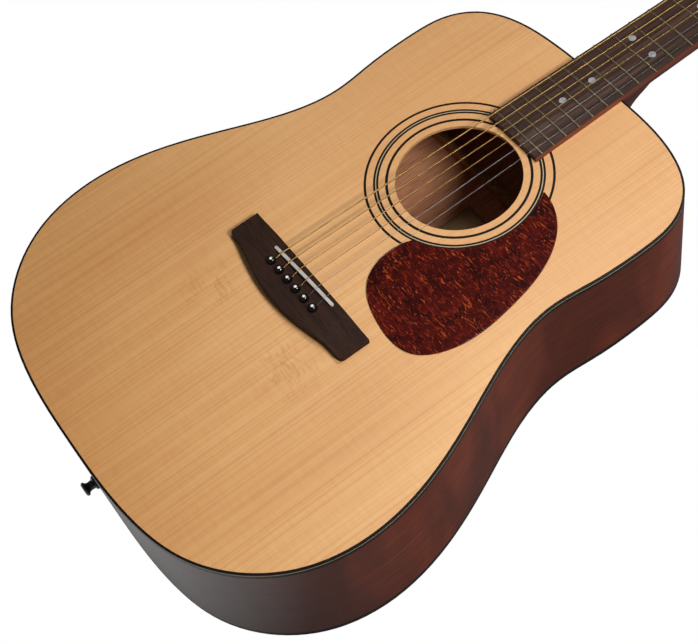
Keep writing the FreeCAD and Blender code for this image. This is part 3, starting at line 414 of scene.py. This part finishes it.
def build_materials():
    """Every finish by its short name; grain figures are cycles per metre along X, Y and Z."""
    mahogany = (srgb(140, 66, 40), srgb(120, 52, 30), srgb(78, 32, 19))
    pale = (srgb(212, 170, 120), srgb(190, 145, 98), srgb(160, 116, 76))
    neck = (srgb(122, 66, 46), srgb(92, 45, 30), srgb(64, 30, 21))
    board = (srgb(98, 74, 60), srgb(74, 53, 44), srgb(50, 35, 30))
    bridge = (srgb(66, 44, 34), srgb(56, 37, 29), srgb(46, 30, 24))
    rim_rings, rim_pores = (5, 5, 160), (26, 26, 1500)
    along_rings, along_pores = (110, 3, 60), (1500, 28, 900)
    return {
        "spruce": spruce(),
        "rim": rim_wood(mahogany, rim_rings, rim_pores),
        "plate": back_wood(mahogany, along_rings, along_pores),
        "inner": grained("inner_wood", pale, (160, 160, 60), (900, 900, 500), 0.62),
        "neck": grained("mahogany_neck", neck, along_rings, along_pores, 0.45),
        "board": grained("rosewood_board", board, (210, 6, 120), (1900, 60, 900), 0.5, 0.00012, 0.2,
                         side=srgb(122, 64, 46)),
        "bridge": grained("rosewood_bridge", bridge, (6, 230, 120), (60, 1900, 900), 0.62, 0.00005,
                          0.12, edge=0.0009),
        "black": plastic("black_binding", srgb(22, 17, 14), 0.4, shine=0.2),
        "pin": plastic("black_pins", srgb(14, 11, 11), 0.05, edge=0.0004),
        "pin_dot": plastic("pin_dots", srgb(250, 248, 242), 0.4),
        "cream": plastic("cream_line", srgb(205, 178, 138), 0.4),
        "bone": plastic("polished_bone", srgb(206, 198, 190), 0.28, edge=0.0005),
        "tortoise": tortoise(),
        "pearl": pearl(),
        "nickel": metal("nickel_frets", srgb(176, 160, 132), 0.34, (900, 60, 60), 0.0002),
        "chrome": metal("chrome_tuners", srgb(214, 214, 214), 0.12, edge=0.0005, grime=0.12),
        "steel": metal("plain_steel", srgb(150, 148, 146), 0.42),
        "bronze": wound("wound_bronze", srgb(206, 164, 100)),
        "brass": metal("brass_balls", srgb(206, 170, 96), 0.3),
        "paper": paper(),
        "button": plastic("dark_strap_button", srgb(66, 68, 74), 0.3, edge=0.0004),
    }


STRINGS = 6
MATERIAL_OF = {
    "spruce": ["soundboard"],
    "rim": ["rib_bass", "rib_treble"],
    "plate": ["back"],
    "inner": ["neck_block", "tail_block", "top_lining", "back_lining", "x_braces",
              "tone_and_finger_braces", "upper_transverse_brace", "soundhole_braces",
              "bridge_plate", "back_braces", "back_centre_strip"],
    "neck": ["neck"],
    "board": ["fretboard", "headplate"],
    "bridge": ["bridge"],
    "black": ["top_binding", "back_binding", "end_graft", "rosette_black_rings", "heel_cap",
              "truss_rod_cover"],
    "pin": ["bridge_pins"],
    "cream": ["binding_line", "rosette_cream_ring"],
    "bone": ["saddle", "nut"],
    "tortoise": ["pickguard"],
    "pearl": ["position_markers"],
    "nickel": ["frets", "headstock_screws"],
    "chrome": ["tuner_housings", "tuner_bushings"],
    "steel": ["plain_strings", "truss_rod", "strap_button_screw"],
    "bronze": ["wound_strings"],
    "brass": ["string_ball_ends"],
    "button": ["strap_button"],
}
for number in range(1, STRINGS + 1):
    MATERIAL_OF["chrome"] += ["tuner_%d_button" % number, "tuner_%d_post" % number]
    MATERIAL_OF["steel"].append("tuner_%d_worm_shaft" % number)


def finish_cad_nodes(materials):
    """Give every CAD node its material, and shade its curved faces smooth."""
    for key, names in MATERIAL_OF.items():
        for name in names:
            node = NODES[name]
            node.data.materials.clear()
            node.data.materials.append(materials[key])
            smooth(node)


SHARP_ANGLE = math.radians(32.0)
WELD_GAP = 0.000002


def smooth(node):
    """Shade a node smooth, apart from its edges sharper than an angle."""
    mesh = node.data
    if "custom_normal" in mesh.attributes:
        mesh.attributes.remove(mesh.attributes["custom_normal"])
    mesh.shade_smooth()
    weld = node.modifiers.new("weld", "WELD")
    weld.merge_threshold = WELD_GAP
    split = node.modifiers.new("sharp_edges", "EDGE_SPLIT")
    split.split_angle = SHARP_ANGLE


# ---- pieces the CAD leaves out ----------------------------------------------------------
WRAP_OUT = 0.0062                 # the CAD string's own turn, above the headstock's face
HOLE_OUT = 0.0094                 # string hole across a tuning post
POST_GAP = 0.00306                # post radius and the string's clearance
WRAP_END = math.radians(315.0)    # where the CAD string's turn stops
STRING_RADII = [0.00015, 0.00020, 0.00031, 0.00041, 0.00053, 0.00067]     # first to sixth
PLAIN_STRINGS = 2
MOST_TURNS = 3
TURN_STEPS = 24
TURN_RISE = 2.1                   # climb of a turn, in string radii


def add_piece(name, vertices, faces, material, slot):
    """A new smooth mesh piece with its material; the slot argument is not used; the caller says what
    it rides on.
    """
    mesh = bpy.data.meshes.new(name)
    mesh.from_pydata(vertices, [], faces)
    mesh.update()
    mesh.shade_smooth()
    mesh.materials.append(material)
    piece = bpy.data.objects.new(name, mesh)
    bpy.context.scene.collection.objects.link(piece)
    return piece


def tube(points, radius, sides=10):
    """Vertices and faces of a round wire along a smooth chain of points, closed at both ends."""
    vertices, faces = [], []
    side = None
    for i, point in enumerate(points):
        ahead = points[min(i + 1, len(points) - 1)] - points[max(i - 1, 0)]
        ahead.normalize()
        side = ahead.orthogonal() if side is None else side - ahead * side.dot(ahead)
        side.normalize()
        other = ahead.cross(side)
        for k in range(sides):
            turn = math.tau * k / sides
            vertices.append(point + (side * math.cos(turn) + other * math.sin(turn)) * radius)
    for i in range(len(points) - 1):
        for k in range(sides):
            a, b = i * sides + k, i * sides + (k + 1) % sides
            faces.append((a, b, b + sides, a + sides))
    faces.append(tuple(range(sides))[::-1])
    last = (len(points) - 1) * sides
    faces.append(tuple(range(last, last + sides)))
    return vertices, faces


def winding_points(joint, radius):
    """Further turns of a string up its post, then its end through the post's hole."""
    foot = Vector(joint["pos_m"])
    out = Vector(joint["axis"]).normalized()
    across = Vector((1.0 if foot.x > 0 else -1.0, 0.0, 0.0))
    along = Vector((0.0, out.z, -out.y))
    reach = POST_GAP + radius
    rise = TURN_RISE * radius
    turns = min(MOST_TURNS, int((HOLE_OUT - WRAP_OUT - radius) / rise))
    steps = TURN_STEPS * turns
    points = []
    for i in range(steps + 1):
        turn = WRAP_END + math.tau * turns * i / steps
        height = WRAP_OUT + rise * (0.12 + turns * i / steps)
        spoke = across * -math.cos(turn) + along * math.sin(turn)
        points.append(foot + out * height + spoke * reach)
    end_spoke = (points[-1] - foot - out * (points[-1] - foot).dot(out)).normalized()
    tangent = out.cross(end_spoke) * (1 if foot.x < 0 else -1)
    points.append(foot + out * (HOLE_OUT - radius) + (end_spoke * 0.8 + tangent * 0.5) * reach)
    return points


def build_windings(materials):
    """The turns of string on each tuning post, riding on the post's own body."""
    for joint in frame["joints"]:
        body = joint["child"]
        if not body.endswith("_spindle"):
            continue
        number = int(body.split("_")[1])
        radius = STRING_RADII[number - 1]
        metal_name = "steel" if number <= PLAIN_STRINGS else "bronze"
        shape = tube(winding_points(joint, radius), radius)
        winding = add_piece("string_winding_%d" % number, *shape, materials[metal_name], metal_name)
        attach(winding, body)


LABEL_X = 0.041                   # half width of the paper glued to the back
LABEL_Y = (-0.026, 0.030)
LABEL_THICK = 0.00015
LABEL_LIFT = 0.00005              # glue under the label
LABEL_FROM = -0.02                # height inside the body from which the back is looked for
LABEL_CELLS = 12


def below(node, spot):
    """The first point of a node straight below a spot."""
    hit, place, normal, face = node.ray_cast(spot, Vector((0, 0, -1)))
    return place


def build_label(materials):
    """Blank paper label on the back's inner face, under the soundhole."""
    back = NODES["back"]
    bpy.context.view_layer.update()
    vertices, faces = [], []
    row = LABEL_CELLS + 1
    for j in range(row):
        for i in range(row):
            x = LABEL_X * (2 * i / LABEL_CELLS - 1)
            y = LABEL_Y[0] + (LABEL_Y[1] - LABEL_Y[0]) * j / LABEL_CELLS
            place = below(back, Vector((x, y, LABEL_FROM)))
            vertices.append(place + Vector((0, 0, LABEL_LIFT)))
    for j in range(LABEL_CELLS):
        for i in range(LABEL_CELLS):
            a = j * row + i
            faces.append((a, a + 1, a + row + 1, a + row))
    label = add_piece("paper_label", vertices, faces, materials["paper"], "cream_plastic")
    thick = label.modifiers.new("thickness", "SOLIDIFY")
    thick.thickness = LABEL_THICK
    thick.offset = 1.0
    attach(label, "root")


def paper():
    """Yellowed label stock with a printed double frame and no lettering."""
    s = Shader("label_paper", 0.8)
    x, y, z = s.split()
    middle = (LABEL_Y[0] + LABEL_Y[1]) / 2
    half = (LABEL_Y[1] - LABEL_Y[0]) / 2
    from_side = s.math("SUBTRACT", LABEL_X, s.math("ABSOLUTE", x))
    from_end = s.math("SUBTRACT", half, s.math("ABSOLUTE", s.math("SUBTRACT", y, middle)))
    edge = s.math("MULTIPLY", s.math("MINIMUM", from_side, from_end), 200.0)
    lines = s.ramp(edge, [(0.28, 0.0), (0.32, 1.0), (0.40, 1.0), (0.44, 0.0),
                          (0.52, 0.0), (0.55, 1.0), (0.58, 0.0)])
    fibres = s.noise((900, 400, 400), 4.0, 0.6)
    tone = s.ramp(fibres, [(0.3, srgb(170, 140, 96)), (0.7, srgb(190, 160, 114))])
    s.set("Base Color", s.mix(s.math("MULTIPLY", lines, 0.5), tone, srgb(96, 70, 44)))
    s.relief(fibres, 0.00004)
    return s.mat


PIN_ROW = (0.0564, -0.1596)       # width of the row of bridge pins, and where it stands on Y
PIN_ABOVE = 0.03                  # a height clear above the pins
DOT_RADIUS = 0.0012               # pale dots on the crowns of the pins
DOT_PROUD = 0.00012
DOT_FOOT = 0.00002
DOT_RINGS = 3
DOT_SIDES = 16


def dot_points(crown):
    """Rings of points over a shallow dot, from its rim inward."""
    points = []
    for ring in range(DOT_RINGS):
        out = DOT_RADIUS * (1 - ring / DOT_RINGS)
        rise = DOT_PROUD * ring / DOT_RINGS + DOT_FOOT
        for k in range(DOT_SIDES):
            turn = math.tau * k / DOT_SIDES
            points.append(crown + Vector((out * math.cos(turn), out * math.sin(turn), rise)))
    return points


def dot_faces(start):
    faces = []
    for ring in range(DOT_RINGS - 1):
        for k in range(DOT_SIDES):
            a = start + ring * DOT_SIDES + k
            b = start + ring * DOT_SIDES + (k + 1) % DOT_SIDES
            faces.append((a, b, b + DOT_SIDES, a + DOT_SIDES))
    last = start + (DOT_RINGS - 1) * DOT_SIDES
    faces.append(tuple(range(last, last + DOT_SIDES)))
    return faces


def build_pin_dots(materials):
    """One shallow dot on each bridge pin's crown."""
    vertices, faces = [], []
    for number in range(STRINGS):
        x = PIN_ROW[0] * (number / (STRINGS - 1) - 0.5)
        crown = below(NODES["bridge_pins"], Vector((x, PIN_ROW[1], PIN_ABOVE)))
        faces += dot_faces(len(vertices))
        vertices += dot_points(crown)
    dots = add_piece("bridge_pin_dots", vertices, faces, materials["pin_dot"], "cream_plastic")
    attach(dots, "root")


# ---- stage -----------------------------------------------------------------------------
def floor_material():
    """White to the camera, dark to the light that bounces, and a soft glow in glossy faces: a painted
    reflection, brightest behind the tail.
    """
    s = Shader("pale_floor", 0.75)
    cloud = s.noise((3, 3, 3), 2.0, 0.5)
    s.set("Base Color", s.ramp(cloud, [(0.3, FLOOR_TONES[0]), (0.7, FLOOR_TONES[1])]))
    seen = s.add("ShaderNodeEmission")
    seen.inputs["Color"].default_value = (1.0, 1.0, 1.0, 1.0)
    ray = s.add("ShaderNodeLightPath")
    camera_share = s.math("MULTIPLY", ray.outputs["Is Camera Ray"], FLOOR_WHITENESS)
    # painted reflection: the floor glows into glossy rays, more behind the tail
    sheen = s.spread(s.split()[1], *FLOOR_SHEEN, *FLOOR_SHEEN_Y)
    glossy_share = s.math("MULTIPLY", ray.outputs["Is Glossy Ray"], sheen)
    both = s.add("ShaderNodeMixShader")
    s.feed(both.inputs[0], s.math("MAXIMUM", camera_share, glossy_share))
    s.links.new(s.bsdf.outputs["BSDF"], both.inputs[1])
    s.links.new(seen.outputs["Emission"], both.inputs[2])
    s.links.new(both.outputs["Shader"], s.nodes["Material Output"].inputs["Surface"])
    return s.mat


def build_floor():
    low = CAD_BOX[0][2] - FLOOR_GAP
    half = FLOOR_HALF
    corners = [(-half, -half, low), (half, -half, low), (half, half, low), (-half, half, low)]
    mesh = bpy.data.meshes.new("floor")
    mesh.from_pydata(corners, [], [(0, 1, 2, 3)])
    mesh.materials.append(floor_material())
    floor = bpy.data.objects.new("floor", mesh)
    bpy.context.scene.collection.objects.link(floor)


def soft_box(name, place, aim, size, power, beam):
    light = bpy.data.lights.new(name, "AREA")
    light.shape = "DISK"
    light.size = size
    light.energy = power
    light.spread = math.radians(beam)
    lamp = bpy.data.objects.new(name, light)
    lamp.location = place
    lamp.rotation_euler = (Vector(aim) - Vector(place)).to_track_quat("-Z", "Y").to_euler()
    bpy.context.scene.collection.objects.link(lamp)


def build_lights():
    for box in SOFT_BOXES:
        soft_box(*box)
    world = bpy.data.worlds.new("studio")
    world.use_nodes = True
    background = world.node_tree.nodes["Background"]
    background.inputs["Color"].default_value = (1.0, 1.0, 1.0, 1.0)
    background.inputs["Strength"].default_value = WORLD_LIGHT
    bpy.context.scene.world = world


def build_camera():
    forward = (CAMERA_AIM - CAMERA_PLACE).normalized()
    level = forward.cross(Vector((0, 0, 1))).normalized()
    upright = level.cross(forward)
    up = upright * math.cos(CAMERA_ROLL) + level * math.sin(CAMERA_ROLL)
    right = forward.cross(up)
    lens = bpy.data.cameras.new("photo_view")
    lens.lens = CAMERA_FOCAL
    lens.sensor_width = SENSOR_WIDE
    lens.sensor_fit = "HORIZONTAL"
    lens.shift_x, lens.shift_y = CAMERA_SHIFT
    camera = bpy.data.objects.new("photo_view", lens)
    turn = Matrix((right, up, -forward)).transposed().to_4x4()
    camera.matrix_world = Matrix.Translation(CAMERA_PLACE) @ turn
    bpy.context.scene.collection.objects.link(camera)
    bpy.context.scene.camera = camera


materials = build_materials()
finish_cad_nodes(materials)
build_windings(materials)
build_label(materials)
build_pin_dots(materials)
build_floor()
build_lights()
build_camera()
bpy.context.scene.view_settings.view_transform = "Standard"
